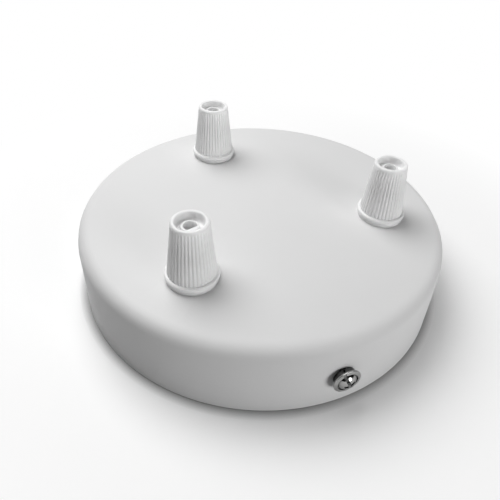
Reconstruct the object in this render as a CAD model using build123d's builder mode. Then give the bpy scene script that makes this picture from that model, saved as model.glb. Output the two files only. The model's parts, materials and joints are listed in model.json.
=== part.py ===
"""Ceiling rose for three pendant cords: a painted steel cup over a ceiling strap, with screw-down cord grips.

Millimetres. The open rim lies in the plane Z = 0, which is the ceiling's face, and +Z points
from the ceiling towards the cords. The two side screws are on the Y axis.
"""
import math
import os

from build123d import *

os.makedirs("parts", exist_ok=True)

# Cup
CUP_R = 60.0
CUP_HEIGHT = 25.0
CUP_WALL = 1.0
SHOULDER_R = 4.0

# Outlets: their circle, their number and the direction of the first one
OUTLET_CIRCLE_R = 39.5
OUTLET_COUNT = 3
OUTLET_START = 97.5

# Cord grip base: a hollow M10 x 1 stud on both sides of a collar that sits on the cup
STUD_R = 4.95
STUD_BORE_R = 3.6
STUD_BELOW = 10.0
STUD_ABOVE = 9.7
STUD_CHAMFER = 0.4
COLLAR_R = 7.5
COLLAR_HEIGHT = 1.3
COLLAR_CHAMFER = 0.2
THREAD_GAP = 0.05
HOLE_GAP = 0.2

# Cord grip cap
CAP_HEIGHT = 18.9
BEAD_R = 7.9
BEAD_HEIGHT = 1.4
BEAD_FILLET = 0.6
CONE_FOOT_R = 7.1
CONE_TOP_R = 5.2
RIM_FILLET = 0.45
DISH_R = 4.05
DISH_DEPTH = 2.7
DISH_BULGE = 0.45
FLUTE_COUNT = 38
FLUTE_CUTTER_R = 0.36
FLUTE_DEPTH = 0.26
FLUTE_END_BELOW_RIM = 1.4

# Collet: slides in the base's bore, and its neck shows in the cap's dish
SLEEVE_GAP = 0.1
SLEEVE_LENGTH = 8.0
SLEEVE_WALL = 0.75
COLLET_R = 4.6
COLLET_SHOULDER = 1.0
COLLET_LIFT = 0.2
NECK_R = 2.45
NECK_LENGTH = 2.7
NECK_BELOW_RIM = 1.6
NECK_GAP = 0.15
MOUTH_R = 1.85
MOUTH_DEPTH = 2.0
CORD_R = 1.5
WINDOW_WIDTH = 0.5
WINDOW_MARGIN = 0.4
JAW_DIRECTIONS = (246.0, 284.0, 230.0)

# Washer and thin hexagon nut inside the cup, one of each under every grip
PLATE_WASHER_R = 7.6
PLATE_WASHER_HEIGHT = 1.0
NUT_FLATS = 14.0
NUT_HEIGHT = 3.0

# Ceiling strap
STRAP_WIDTH = 16.0
STRAP_THICKNESS = 1.5
LUG_HEIGHT = 17.5
LUG_CORNER_R = 5.0
LUG_CLEARANCE = 0.3
BEND_R = 1.0
CABLE_HOLE_R = 5.0
SLOT_WIDTH = 5.0
SLOT_LENGTH = 14.0
SLOT_SPACING = 62.0
BOSS_WALL = 1.4
LUG_BOSS_DEPTH = 1.5
EARTH_BOSS_HEIGHT = 2.0
EARTH_Y = -14.5

# M4 pan-head screws: two at the cup's side and the earth screw
M4_R = 2.0
M4_TIP_CHAMFER = 0.4
M4_HEAD_R = 4.1
M4_HEAD_EDGE = 0.6
M4_HEAD_DOME = 1.4
M4_SLOT_WIDTH = 0.9
M4_SLOT_DEPTH = 1.6
M4_CROSS_REACH = 2.3
M4_CROSS_DEPTH = 1.8
M4_CROSS_TAPER = 12.0
SIDE_HOLE_GAP = 0.25
SIDE_SCREW_Z = 11.5
SIDE_SCREW_LENGTH = 8.0
SIDE_SLOT_ANGLE = 112.0
SPRING_WASHER_R = 3.3
SPRING_WASHER_HEIGHT = 1.7
SPRING_WASHER_SEAT_GAP = 0.05
SPRING_SLIT_WIDTH = 0.5
SPRING_SLIT_LEAN = 25.0
SPRING_SLIT_ANGLE = 104.0
EARTH_SCREW_LENGTH = 4.0
EARTH_SLOT_ANGLE = 20.0
EARTH_WASHER_R = 4.4
EARTH_WASHER_HEIGHT = 0.8

# Terminal strip across the ceiling strap
BLOCK_Y = 14.5
BLOCK_DEPTH = 16.0
POLE_COUNT = 3
POLE_PITCH = 10.0
POLE_WIDTH = 6.2
POLE_HEIGHT = 7.4
POLE_FILLET = 0.8
WEB_HEIGHT = 3.0
WEB_DEPTH = 12.0
WIRE_HEIGHT = 3.6
TURRET_R = 2.9
TURRET_HEIGHT = 4.5
WELL_R = 2.05
CLAMP_SPACING = 7.2

# Brass inserts in the strip's poles, and their M3 clamping screws
INSERT_R = 2.2
INSERT_BORE_R = 1.4
INSERT_LENGTH = 12.0
INSERT_GAP = 0.05
CROWN_WIDTH = 3.2
CROWN_LENGTH = 10.6
CROWN_HEIGHT = 3.2
M3_R = 1.5
M3_LENGTH = 4.6
M3_TIP_CHAMFER = 0.3
M3_HEAD_R = 1.85
M3_HEAD_HEIGHT = 1.6
M3_SLOT_WIDTH = 0.6
M3_SLOT_DEPTH = 0.8
M3_TIP_GAP = 0.1
M3_SLOT_ANGLES = (15.0, 70.0, -35.0, 5.0, 50.0, -60.0)

# The two screws that hold the strip to the ceiling strap
FIX_R = 1.25
FIX_HOLE_GAP = 0.15
FIX_HEAD_R = 2.25
FIX_HEAD_HEIGHT = 1.5
FIX_HEAD_GAP = 0.15
FIX_SLOT_WIDTH = 0.7
FIX_SLOT_DEPTH = 0.7
FIX_SLOT_ANGLE = 30.0
FIX_TIP_RECESS = 0.2

# Heights and places that follow from the sizes above
plate_top = CUP_HEIGHT
plate_under = CUP_HEIGHT - CUP_WALL
collar_top = plate_top + COLLAR_HEIGHT
stud_foot = plate_top - STUD_BELOW
stud_top = collar_top + STUD_ABOVE
cap_top = collar_top + CAP_HEIGHT
cup_inner_r = CUP_R - CUP_WALL
lug_face = math.sqrt(cup_inner_r**2 - (STRAP_WIDTH / 2) ** 2) - LUG_CLEARANCE
lug_inner = lug_face - STRAP_THICKNESS
outlet_hole_r = STUD_R + HOLE_GAP
tapped_m4_r = M4_R + THREAD_GAP
tapped_fix_r = FIX_R + THREAD_GAP
pole_places = [POLE_PITCH * (i - (POLE_COUNT - 1) / 2) for i in range(POLE_COUNT)]
web_places = [x + POLE_PITCH / 2 for x in pole_places[:-1]]


def outlet_place(direction, turn=0.0):
    """Where an outlet's axis meets the ceiling plane, with the piece there turned about that axis."""
    angle = math.radians(direction)
    return Location(
        (OUTLET_CIRCLE_R * math.cos(angle), OUTLET_CIRCLE_R * math.sin(angle), 0), (0, 0, turn)
    )


def write(piece, name):
    """Labels a finished piece and writes it to its own STEP file."""
    piece.label = name
    export_step(piece, f"parts/{name}.step")


# Canopy: a drawn cup with its outlets and two side holes
with BuildPart() as canopy:
    with BuildSketch():
        Circle(CUP_R)
    extrude(amount=CUP_HEIGHT)
    fillet(canopy.faces().sort_by(Axis.Z)[-1].edges(), SHOULDER_R)
    offset(amount=-CUP_WALL, openings=canopy.faces().sort_by(Axis.Z)[0])
    with BuildSketch(Plane.XY.offset(plate_top)):
        with PolarLocations(OUTLET_CIRCLE_R, OUTLET_COUNT, OUTLET_START):
            Circle(outlet_hole_r)
    extrude(amount=-CUP_WALL, mode=Mode.SUBTRACT)
    with BuildSketch(Plane.XZ):
        with Locations((0, SIDE_SCREW_Z)):
            Circle(M4_R + SIDE_HOLE_GAP)
    extrude(amount=CUP_R, both=True, mode=Mode.SUBTRACT)
write(canopy.part, "canopy")

# Ceiling strap: one bent strip, with a drawn boss at each tapped M4 hole
with BuildPart() as bracket:
    with BuildSketch(Plane.YZ) as profile:
        with BuildLine():
            Polyline(
                (-lug_face, 0),
                (lug_face, 0),
                (lug_face, LUG_HEIGHT),
                (lug_inner, LUG_HEIGHT),
                (lug_inner, STRAP_THICKNESS),
                (-lug_inner, STRAP_THICKNESS),
                (-lug_inner, LUG_HEIGHT),
                (-lug_face, LUG_HEIGHT),
                close=True,
            )
        make_face()
        fillet(profile.vertices().group_by(Axis.Y)[0], BEND_R + STRAP_THICKNESS)
        fillet(profile.vertices().filter_by(lambda v: v.Y == STRAP_THICKNESS), BEND_R)
    extrude(amount=STRAP_WIDTH / 2, both=True)
    fillet(bracket.faces().group_by(Axis.Z)[-1].edges().filter_by(Axis.Y), LUG_CORNER_R)
    for side in (-1, 1):
        with BuildSketch(Plane.XZ.offset(side * lug_inner)):
            with Locations((0, SIDE_SCREW_Z)):
                Circle(tapped_m4_r + BOSS_WALL)
        extrude(amount=-side * LUG_BOSS_DEPTH)
    with BuildSketch(Plane.XZ):
        with Locations((0, SIDE_SCREW_Z)):
            Circle(tapped_m4_r)
    extrude(amount=CUP_R, both=True, mode=Mode.SUBTRACT)
    with BuildSketch(Plane.XY.offset(STRAP_THICKNESS)):
        with Locations((0, EARTH_Y)):
            Circle(tapped_m4_r + BOSS_WALL)
    extrude(amount=EARTH_BOSS_HEIGHT)
    with BuildSketch():
        Circle(CABLE_HOLE_R)
        with Locations((0, -SLOT_SPACING / 2), (0, SLOT_SPACING / 2)):
            SlotOverall(SLOT_LENGTH, SLOT_WIDTH, rotation=90)
        with Locations((0, EARTH_Y)):
            Circle(tapped_m4_r)
        with Locations([(x, BLOCK_Y) for x in web_places]):
            Circle(tapped_fix_r)
    extrude(amount=STRAP_THICKNESS + EARTH_BOSS_HEIGHT, mode=Mode.SUBTRACT)
write(bracket.part, "bracket")

# Cord grip base: collar, and a hollow stud above and below it
with BuildPart() as base_form:
    with BuildSketch(Plane.XY.offset(stud_foot)):
        Circle(STUD_R)
    extrude(amount=stud_top - stud_foot)
    chamfer(base_form.faces().filter_by(GeomType.PLANE).edges(), STUD_CHAMFER)
    with BuildSketch(Plane.XY.offset(plate_top)):
        Circle(COLLAR_R)
    extrude(amount=COLLAR_HEIGHT)
    chamfer(base_form.edges().filter_by(GeomType.CIRCLE).group_by(SortBy.RADIUS)[-1], COLLAR_CHAMFER)
    with BuildSketch(Plane.XY.offset(stud_foot)):
        Circle(STUD_BORE_R)
    extrude(amount=stud_top - stud_foot, mode=Mode.SUBTRACT)

# Collet: a sleeve in the base's bore, a shoulder above it, a cone and a neck
sleeve_r = STUD_BORE_R - SLEEVE_GAP
shoulder_foot = stud_top + COLLET_LIFT
shoulder_top = shoulder_foot + COLLET_SHOULDER
sleeve_foot = shoulder_foot - SLEEVE_LENGTH
neck_top = cap_top - NECK_BELOW_RIM
neck_foot = neck_top - NECK_LENGTH
jaw_face = 2 * CORD_R - MOUTH_R
cord_offset = MOUTH_R - CORD_R
with BuildPart() as collet_form:
    with BuildSketch(Plane.XZ):
        with BuildLine():
            Polyline(
                (0, sleeve_foot),
                (sleeve_r, sleeve_foot),
                (sleeve_r, shoulder_foot),
                (COLLET_R, shoulder_foot),
                (COLLET_R, shoulder_top),
                (COLLET_R - NECK_GAP, shoulder_top),
                (NECK_R, neck_foot),
                (NECK_R, neck_top),
                (0, neck_top),
                close=True,
            )
        make_face()
    revolve(axis=Axis.Z)
    with BuildSketch(Plane.XY.offset(sleeve_foot)):
        Circle(sleeve_r - SLEEVE_WALL)
    extrude(amount=SLEEVE_LENGTH, mode=Mode.SUBTRACT)
    with BuildSketch(Plane.XY.offset(shoulder_foot)):
        with Locations((-cord_offset, 0)):
            Circle(CORD_R)
    extrude(amount=neck_top - shoulder_foot, mode=Mode.SUBTRACT)
    with BuildSketch(Plane.XY.offset(neck_top)):
        Circle(MOUTH_R)
        with Locations((jaw_face, 0)):
            Rectangle(MOUTH_R, 2 * MOUTH_R, align=(Align.MIN, Align.CENTER), mode=Mode.SUBTRACT)
    extrude(amount=-MOUTH_DEPTH, mode=Mode.SUBTRACT)
    with BuildSketch(Plane.XY.offset(shoulder_top + WINDOW_MARGIN)):
        with PolarLocations(0, 2, 45, 180):
            Rectangle(2 * COLLET_R, WINDOW_WIDTH)
    extrude(amount=neck_foot - shoulder_top - 2 * WINDOW_MARGIN, mode=Mode.SUBTRACT)

# Cord grip cap: a fluted cone, a bead over the flutes' feet, and a dished top around the collet's neck
cap_bore_r = STUD_R + THREAD_GAP
cone_inner_foot = shoulder_top + NECK_GAP
neck_hole_r = NECK_R + NECK_GAP
dish_floor = cap_top - DISH_DEPTH
dish_middle = ((DISH_R + neck_hole_r) / 2 + DISH_BULGE, (cap_top + dish_floor) / 2 - DISH_BULGE)
bead_top = collar_top + BEAD_HEIGHT
cone_lean = math.atan2(CONE_FOOT_R - CONE_TOP_R, cap_top - bead_top)
flute_foot = Vector(CONE_FOOT_R, 0, (bead_top + collar_top) / 2)
flute_out = Vector(math.cos(cone_lean), 0, math.sin(cone_lean)) * (FLUTE_CUTTER_R - FLUTE_DEPTH)
flute_up = Vector(-math.sin(cone_lean), 0, math.cos(cone_lean))
flute_length = (cap_top - FLUTE_END_BELOW_RIM - flute_foot.Z) / math.cos(cone_lean)
with BuildPart() as flute:
    with BuildSketch(Plane(origin=flute_foot + flute_out, z_dir=flute_up)):
        Circle(FLUTE_CUTTER_R)
    extrude(amount=flute_length)
    with Locations(flute_foot + flute_out + flute_up * flute_length):
        Sphere(FLUTE_CUTTER_R)
with BuildPart() as cap_form:
    with BuildSketch(Plane.XZ) as section:
        with BuildLine():
            Polyline(
                (DISH_R, cap_top),
                (CONE_TOP_R, cap_top),
                (CONE_FOOT_R, bead_top),
                (CONE_FOOT_R, collar_top),
                (cap_bore_r, collar_top),
                (cap_bore_r, cone_inner_foot),
                (COLLET_R, cone_inner_foot),
                (neck_hole_r, neck_foot + NECK_GAP),
                (neck_hole_r, dish_floor),
            )
            ThreePointArc((neck_hole_r, dish_floor), dish_middle, (DISH_R, cap_top))
        make_face()
        fillet(section.vertices().group_by(Axis.Y)[-1], RIM_FILLET)
    revolve(axis=Axis.Z)
    with PolarLocations(0, FLUTE_COUNT):
        add(flute.part, mode=Mode.SUBTRACT)
    with BuildSketch(Plane.XZ) as bead:
        with Locations((cap_bore_r, collar_top)):
            Rectangle(BEAD_R - cap_bore_r, BEAD_HEIGHT, align=Align.MIN)
        fillet(bead.vertices().group_by(Axis.X)[-1], BEAD_FILLET)
    revolve(axis=Axis.Z)

# Washer and nut that clamp the grip's base from inside the cup
washer_foot = plate_under - PLATE_WASHER_HEIGHT
nut_foot = washer_foot - NUT_HEIGHT
nut_bore_r = STUD_R + THREAD_GAP
nut_corner_r = NUT_FLATS / math.sqrt(3)
nut_chamfer = (nut_corner_r - NUT_FLATS / 2) * math.tan(math.radians(30))
with BuildPart() as plate_washer_form:
    with BuildSketch(Plane.XY.offset(washer_foot)):
        Circle(PLATE_WASHER_R)
        Circle(outlet_hole_r, mode=Mode.SUBTRACT)
    extrude(amount=PLATE_WASHER_HEIGHT)
with BuildPart() as nut_form:
    with BuildSketch(Plane.XY.offset(nut_foot)):
        RegularPolygon(NUT_FLATS / 2, 6, major_radius=False)
    extrude(amount=NUT_HEIGHT)
    with BuildSketch(Plane.XZ):
        with BuildLine():
            Polyline(
                (nut_bore_r, nut_foot),
                (NUT_FLATS / 2, nut_foot),
                (nut_corner_r, nut_foot + nut_chamfer),
                (nut_corner_r, washer_foot - nut_chamfer),
                (NUT_FLATS / 2, washer_foot),
                (nut_bore_r, washer_foot),
                close=True,
            )
        make_face()
    revolve(axis=Axis.Z, mode=Mode.INTERSECT)

# The grips, each with its washer and nut
for i in range(OUTLET_COUNT):
    direction = OUTLET_START + 360 / OUTLET_COUNT * i
    jaw_turn = JAW_DIRECTIONS[i % len(JAW_DIRECTIONS)]
    with BuildPart() as base:
        with Locations(outlet_place(direction)):
            add(base_form.part)
    write(base.part, f"cord_grip_base_{i + 1}")
    with BuildPart() as collet:
        with Locations(outlet_place(direction, jaw_turn)):
            add(collet_form.part)
    write(collet.part, f"cord_grip_collet_{i + 1}")
    with BuildPart() as cap:
        with Locations(outlet_place(direction)):
            add(cap_form.part)
    write(cap.part, f"cord_grip_cap_{i + 1}")
    with BuildPart() as plate_washer:
        with Locations(outlet_place(direction)):
            add(plate_washer_form.part)
    write(plate_washer.part, f"base_washer_{i + 1}")
    with BuildPart() as nut:
        with Locations(outlet_place(direction, direction)):
            add(nut_form.part)
    write(nut.part, f"base_nut_{i + 1}")


def m4_screw(length, slot_angle, seat):
    """An M4 pan-head screw with a combination recess: the seat plane is under its head, facing out."""
    head_top = M4_HEAD_EDGE + M4_HEAD_DOME
    dome_r = (M4_HEAD_R**2 + M4_HEAD_DOME**2) / (2 * M4_HEAD_DOME)
    with BuildPart() as form:
        with BuildSketch(Plane.XZ):
            with BuildLine():
                Polyline(
                    (0, head_top),
                    (0, -length),
                    (M4_R - M4_TIP_CHAMFER, -length),
                    (M4_R, M4_TIP_CHAMFER - length),
                    (M4_R, 0),
                    (M4_HEAD_R, 0),
                    (M4_HEAD_R, M4_HEAD_EDGE),
                )
                RadiusArc((0, head_top), (M4_HEAD_R, M4_HEAD_EDGE), dome_r)
            make_face()
        revolve(axis=Axis.Z)
        with BuildSketch(Plane.XY.offset(head_top)):
            Rectangle(3 * M4_HEAD_R, M4_SLOT_WIDTH, rotation=slot_angle)
        extrude(amount=-M4_SLOT_DEPTH, mode=Mode.SUBTRACT)
        with BuildSketch(Plane.XY.offset(head_top)):
            Rectangle(2 * M4_CROSS_REACH, M4_SLOT_WIDTH, rotation=slot_angle)
            Rectangle(M4_SLOT_WIDTH, 2 * M4_CROSS_REACH, rotation=slot_angle)
        extrude(amount=-M4_CROSS_DEPTH, taper=M4_CROSS_TAPER, mode=Mode.SUBTRACT)
    with BuildPart() as screw:
        with Locations(seat):
            add(form.part)
    return screw.part


# Side screws with their split spring washers: the first pair on -Y, the second on +Y
washer_seat = CUP_R + SPRING_WASHER_SEAT_GAP
head_seat = washer_seat + SPRING_WASHER_HEIGHT
with BuildPart() as spring_washer_form:
    with BuildSketch():
        Circle(SPRING_WASHER_R)
        Circle(tapped_m4_r, mode=Mode.SUBTRACT)
    extrude(amount=SPRING_WASHER_HEIGHT)
    with BuildSketch(Plane.YZ):
        with Locations((0, SPRING_WASHER_HEIGHT / 2)):
            Rectangle(SPRING_SLIT_WIDTH, 3 * SPRING_WASHER_HEIGHT, rotation=-SPRING_SLIT_LEAN)
    extrude(amount=2 * SPRING_WASHER_R, mode=Mode.SUBTRACT)
for number, side in enumerate((-1, 1), 1):
    slit_turn = Location((0, 0, 0), (0, 0, SPRING_SLIT_ANGLE))
    washer_plane = Plane((0, side * washer_seat, SIDE_SCREW_Z), (-side, 0, 0), (0, side, 0))
    with BuildPart() as side_washer:
        with Locations(Location(washer_plane) * slit_turn):
            add(spring_washer_form.part)
    write(side_washer.part, f"side_washer_{number}")
    head_plane = Plane((0, side * head_seat, SIDE_SCREW_Z), (-side, 0, 0), (0, side, 0))
    side_screw = m4_screw(SIDE_SCREW_LENGTH, SIDE_SLOT_ANGLE, head_plane)
    write(side_screw, f"side_screw_{number}")

# Earth terminal: a plain washer and an M4 screw on the strap's boss
earth_seat = STRAP_THICKNESS + EARTH_BOSS_HEIGHT
with BuildPart() as earth_washer:
    with BuildSketch(Plane.XY.offset(earth_seat)):
        with Locations((0, EARTH_Y)):
            Circle(EARTH_WASHER_R)
            Circle(M4_R + SIDE_HOLE_GAP, mode=Mode.SUBTRACT)
    extrude(amount=EARTH_WASHER_HEIGHT)
write(earth_washer.part, "earth_washer")
earth_plane = Plane.XY.offset(earth_seat + EARTH_WASHER_HEIGHT).move(Location((0, EARTH_Y, 0)))
write(m4_screw(EARTH_SCREW_LENGTH, EARTH_SLOT_ANGLE, earth_plane), "earth_screw")

# Terminal strip: pole housings joined by webs, with a turret over each clamping screw
strip_foot = STRAP_THICKNESS
wire_z = strip_foot + WIRE_HEIGHT
crown_top = wire_z + CROWN_HEIGHT
turret_top = strip_foot + POLE_HEIGHT + TURRET_HEIGHT
clamp_places = [(x, BLOCK_Y + side * CLAMP_SPACING / 2) for x in pole_places for side in (-1, 1)]
strip_plane = Plane.XZ.offset(-BLOCK_Y)
with BuildPart() as terminal_block:
    with BuildSketch(Plane.XY.offset(strip_foot)):
        with Locations([(x, BLOCK_Y) for x in pole_places]):
            Rectangle(POLE_WIDTH, BLOCK_DEPTH)
    extrude(amount=POLE_HEIGHT)
    fillet(terminal_block.faces().sort_by(Axis.Z)[-POLE_COUNT:].edges(), POLE_FILLET)
    with BuildSketch(Plane.XY.offset(strip_foot)):
        with Locations((0, BLOCK_Y)):
            Rectangle(POLE_PITCH * (POLE_COUNT - 1), WEB_DEPTH)
    extrude(amount=WEB_HEIGHT)
    with BuildSketch(Plane.XY.offset(crown_top)):
        with Locations(clamp_places):
            Circle(TURRET_R)
    extrude(amount=turret_top - crown_top)
    with BuildSketch(strip_plane):
        with Locations([(x, wire_z) for x in pole_places]):
            Circle(INSERT_R + INSERT_GAP)
            Rectangle(
                CROWN_WIDTH + 2 * INSERT_GAP, CROWN_HEIGHT + INSERT_GAP, align=(Align.CENTER, Align.MIN)
            )
    extrude(amount=BLOCK_DEPTH / 2, both=True, mode=Mode.SUBTRACT)
    with BuildSketch(Plane.XY.offset(turret_top)):
        with Locations(clamp_places):
            Circle(WELL_R)
    extrude(amount=wire_z - turret_top, mode=Mode.SUBTRACT)
    with BuildSketch(Plane.XY.offset(strip_foot)):
        with Locations([(x, BLOCK_Y) for x in web_places]):
            Circle(FIX_R + FIX_HOLE_GAP)
    extrude(amount=WEB_HEIGHT, mode=Mode.SUBTRACT)
    with BuildSketch(Plane.XY.offset(strip_foot + WEB_HEIGHT)):
        with Locations([(x, BLOCK_Y) for x in web_places]):
            Circle(FIX_HEAD_R + FIX_HEAD_GAP)
    extrude(amount=POLE_HEIGHT, mode=Mode.SUBTRACT)
write(terminal_block.part, "terminal_block")

# Brass inserts: a tube with a thicker crown that the clamping screws thread through
for number, x in enumerate(pole_places, 1):
    with BuildPart() as insert:
        with BuildSketch(strip_plane):
            with Locations((x, wire_z)):
                Circle(INSERT_R)
        extrude(amount=INSERT_LENGTH / 2, both=True)
        with BuildSketch(strip_plane):
            with Locations((x, wire_z)):
                Rectangle(CROWN_WIDTH, CROWN_HEIGHT, align=(Align.CENTER, Align.MIN))
        extrude(amount=CROWN_LENGTH / 2, both=True)
        with BuildSketch(strip_plane):
            with Locations((x, wire_z)):
                Circle(INSERT_BORE_R)
        extrude(amount=INSERT_LENGTH / 2, both=True, mode=Mode.SUBTRACT)
        with BuildSketch(Plane.XY.offset(crown_top)):
            with Locations([place for place in clamp_places if place[0] == x]):
                Circle(M3_R + THREAD_GAP)
        extrude(amount=wire_z - crown_top, mode=Mode.SUBTRACT)
    write(insert.part, f"terminal_insert_{number}")

# Clamping screws, backed off until their tips are just clear of the wire holes
clamp_tip = wire_z + INSERT_BORE_R + M3_TIP_GAP
clamp_seat = clamp_tip + M3_LENGTH
for number, (x, y) in enumerate(clamp_places, 1):
    with BuildPart() as clamp_screw:
        with BuildSketch(Plane.XY.offset(clamp_tip)):
            with Locations((x, y)):
                Circle(M3_R)
        extrude(amount=M3_LENGTH)
        chamfer(clamp_screw.faces().sort_by(Axis.Z)[0].edges(), M3_TIP_CHAMFER)
        with BuildSketch(Plane.XY.offset(clamp_seat)):
            with Locations((x, y)):
                Circle(M3_HEAD_R)
        extrude(amount=M3_HEAD_HEIGHT)
        with BuildSketch(Plane.XY.offset(clamp_seat + M3_HEAD_HEIGHT)):
            with Locations((x, y)):
                slot_angle = M3_SLOT_ANGLES[(number - 1) % len(M3_SLOT_ANGLES)]
                Rectangle(3 * M3_HEAD_R, M3_SLOT_WIDTH, rotation=slot_angle)
        extrude(amount=-M3_SLOT_DEPTH, mode=Mode.SUBTRACT)
    write(clamp_screw.part, f"terminal_screw_{number}")

# The strip's fixing screws, one through each web into the strap
fix_seat = strip_foot + WEB_HEIGHT
with BuildPart() as block_screws:
    with BuildSketch(Plane.XY.offset(fix_seat)):
        with Locations([(x, BLOCK_Y) for x in web_places]):
            Circle(FIX_R)
    extrude(amount=FIX_TIP_RECESS - fix_seat)
    with BuildSketch(Plane.XY.offset(fix_seat)):
        with Locations([(x, BLOCK_Y) for x in web_places]):
            Circle(FIX_HEAD_R)
    extrude(amount=FIX_HEAD_HEIGHT)
    with BuildSketch(Plane.XY.offset(fix_seat + FIX_HEAD_HEIGHT)):
        with Locations([(x, BLOCK_Y) for x in web_places]):
            Rectangle(2 * FIX_HEAD_R, FIX_SLOT_WIDTH, rotation=FIX_SLOT_ANGLE)
    extrude(amount=-FIX_SLOT_DEPTH, mode=Mode.SUBTRACT)
write(block_screws.part, "block_screws")
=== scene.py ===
# %% [markdown]
# # A ceiling rose for three pendant cords
# The object is a shallow painted cup that covers the cable outlet in a ceiling. Three small
# plastic cord grips stand on its face, and two screws at its side hold it to a strap, which
# carries the terminals. Here it lies face up on a white table. The solids come from the packed
# model, and each of them is dressed by a mesh with the rounded edges, threads and flutes that
# the eye expects. Every piece is drawn in millimetres and scaled to metres when it is finished.

# %% Load the solids
import json
import math

import bmesh
import bpy
from mathutils import Matrix, Vector

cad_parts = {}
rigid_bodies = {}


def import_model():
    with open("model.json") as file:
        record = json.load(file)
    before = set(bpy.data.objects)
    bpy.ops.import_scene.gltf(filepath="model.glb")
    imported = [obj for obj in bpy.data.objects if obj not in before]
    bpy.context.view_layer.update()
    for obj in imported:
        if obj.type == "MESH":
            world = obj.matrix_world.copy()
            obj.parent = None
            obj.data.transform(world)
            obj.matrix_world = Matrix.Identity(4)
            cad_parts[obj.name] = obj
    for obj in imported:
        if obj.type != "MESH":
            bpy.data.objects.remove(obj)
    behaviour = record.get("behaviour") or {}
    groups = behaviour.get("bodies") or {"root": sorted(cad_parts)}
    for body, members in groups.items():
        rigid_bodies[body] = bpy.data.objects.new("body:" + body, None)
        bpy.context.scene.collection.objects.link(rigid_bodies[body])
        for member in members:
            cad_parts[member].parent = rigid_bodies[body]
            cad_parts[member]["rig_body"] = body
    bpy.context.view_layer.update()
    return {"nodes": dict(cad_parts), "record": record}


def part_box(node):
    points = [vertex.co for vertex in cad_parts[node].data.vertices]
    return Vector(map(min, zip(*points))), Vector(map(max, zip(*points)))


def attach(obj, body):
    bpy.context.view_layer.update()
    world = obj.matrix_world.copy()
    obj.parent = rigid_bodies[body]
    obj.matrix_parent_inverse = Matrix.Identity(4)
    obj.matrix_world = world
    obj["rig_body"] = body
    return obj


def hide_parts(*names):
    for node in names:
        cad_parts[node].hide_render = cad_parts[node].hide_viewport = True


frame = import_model()
MM = 0.001
subparts = {part["node"]: part["material_slot"] for part in frame["record"]["subparts"]}

# %% [markdown]
# ## Measures
# A node's box says where a piece sits and how far it reaches, so no place is typed in twice.
# `place` gives the centre of a node and `reach` its two ends, both in millimetres.

# %% Places of the nodes
OUTLETS = (1, 2, 3)


def reach(node):
    """The lowest and the highest corner of a node, in millimetres."""
    low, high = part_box(node)
    return low / MM, high / MM


def place(node):
    """The centre of a node, in millimetres."""
    low, high = reach(node)
    return (low + high) / 2


_, cup_high = reach("canopy")
plate_top = round(cup_high.z, 3)
cup_r = round(cup_high.x, 2)
grip_axes = {i: place(f"cord_grip_base_{i}").xy for i in OUTLETS}
print("cup radius", cup_r, "height", plate_top)
print("outlets at", [tuple(round(c, 2) for c in axis) for axis in grip_axes.values()])

# %% [markdown]
# ## Camera
# The photograph looks down on the rose from about 43 degrees, from quite near, so the far edge
# of the cup is clearly narrower. The picture was cropped a little off the lens axis, which the
# small shift repeats. The camera's turn is built in the order in which a photographer sets it:
# where the tripod stands, then where the lens points, then how far the horizon leans.

# %% Camera at the photograph's angle
CAMERA_DISTANCE = 0.18923
CAMERA_ELEVATION = 42.56
CAMERA_AZIMUTH = -23.98
CAMERA_YAW = 0.78
CAMERA_PITCH = -37.71
CAMERA_ROLL = 4.10
LENS = 36.97
SENSOR = 36.0
SHIFT = (-0.0365, -0.0601)


def turn(degrees, axis):
    """A rotation about one of the world's axes."""
    return Matrix.Rotation(math.radians(degrees), 4, axis)


stand = turn(CAMERA_AZIMUTH, "Z") @ turn(-CAMERA_ELEVATION, "X") @ Vector((0, -CAMERA_DISTANCE, 0))
camera = bpy.data.objects.new("camera", bpy.data.cameras.new("camera"))
camera.data.lens = LENS
camera.data.sensor_width = SENSOR
camera.data.shift_x, camera.data.shift_y = SHIFT
camera.data.clip_start = 0.01
camera.matrix_world = (
    Matrix.Translation(stand)
    @ turn(CAMERA_AZIMUTH - CAMERA_YAW, "Z")
    @ turn(90 + CAMERA_PITCH, "X")
    @ turn(CAMERA_ROLL, "Z")
)
bpy.context.scene.collection.objects.link(camera)
bpy.context.scene.camera = camera
print("camera at", tuple(round(c, 4) for c in stand))

# %% [markdown]
# ## Table, light and the room
# A product photographer lays such a part on white paper, hangs one wide soft lamp high behind it
# and sets a weaker one low in front, so that the face is bright, the wall is grey and the shadow
# falls softly towards the camera. The picture's paper is a clean white further out. So for the
# camera, for mirror-like metal and for anything clear, the paper here fades to a plain white with
# its distance from the rose, while near the rose it stays real paper and keeps the shadow. Right
# at the rim, where the cup shuts out the room, an Ambient Occlusion node draws the thin dark line
# of contact. Other light meets a greyer sheet, which throws back about as much as the wall needs.

# %% Table
TABLE_R = 3.0
PAPER_SEEN = 0.93
PAPER_GLOW = 0.13
PAPER_BOUNCE = 0.5
WHITE_FROM = 0.066
WHITE_FULL = 0.145
CONTACT_REACH = 0.0035
CONTACT_DEPTH = 1.5
OCCLUSION_SAMPLES = 16


def mesh_from(bm, name="part"):
    """Hands a bmesh over to a mesh."""
    mesh = bpy.data.meshes.new(name)
    bm.to_mesh(mesh)
    bm.free()
    return mesh


def link(name, mesh, materials=()):
    """Puts a mesh into the scene as an object at the origin."""
    thing = bpy.data.objects.new(name, mesh)
    bpy.context.scene.collection.objects.link(thing)
    for material in materials:
        mesh.materials.append(material)
    return thing


def grey(value):
    """A neutral colour for a colour socket."""
    return (value, value, value, 1)


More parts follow.
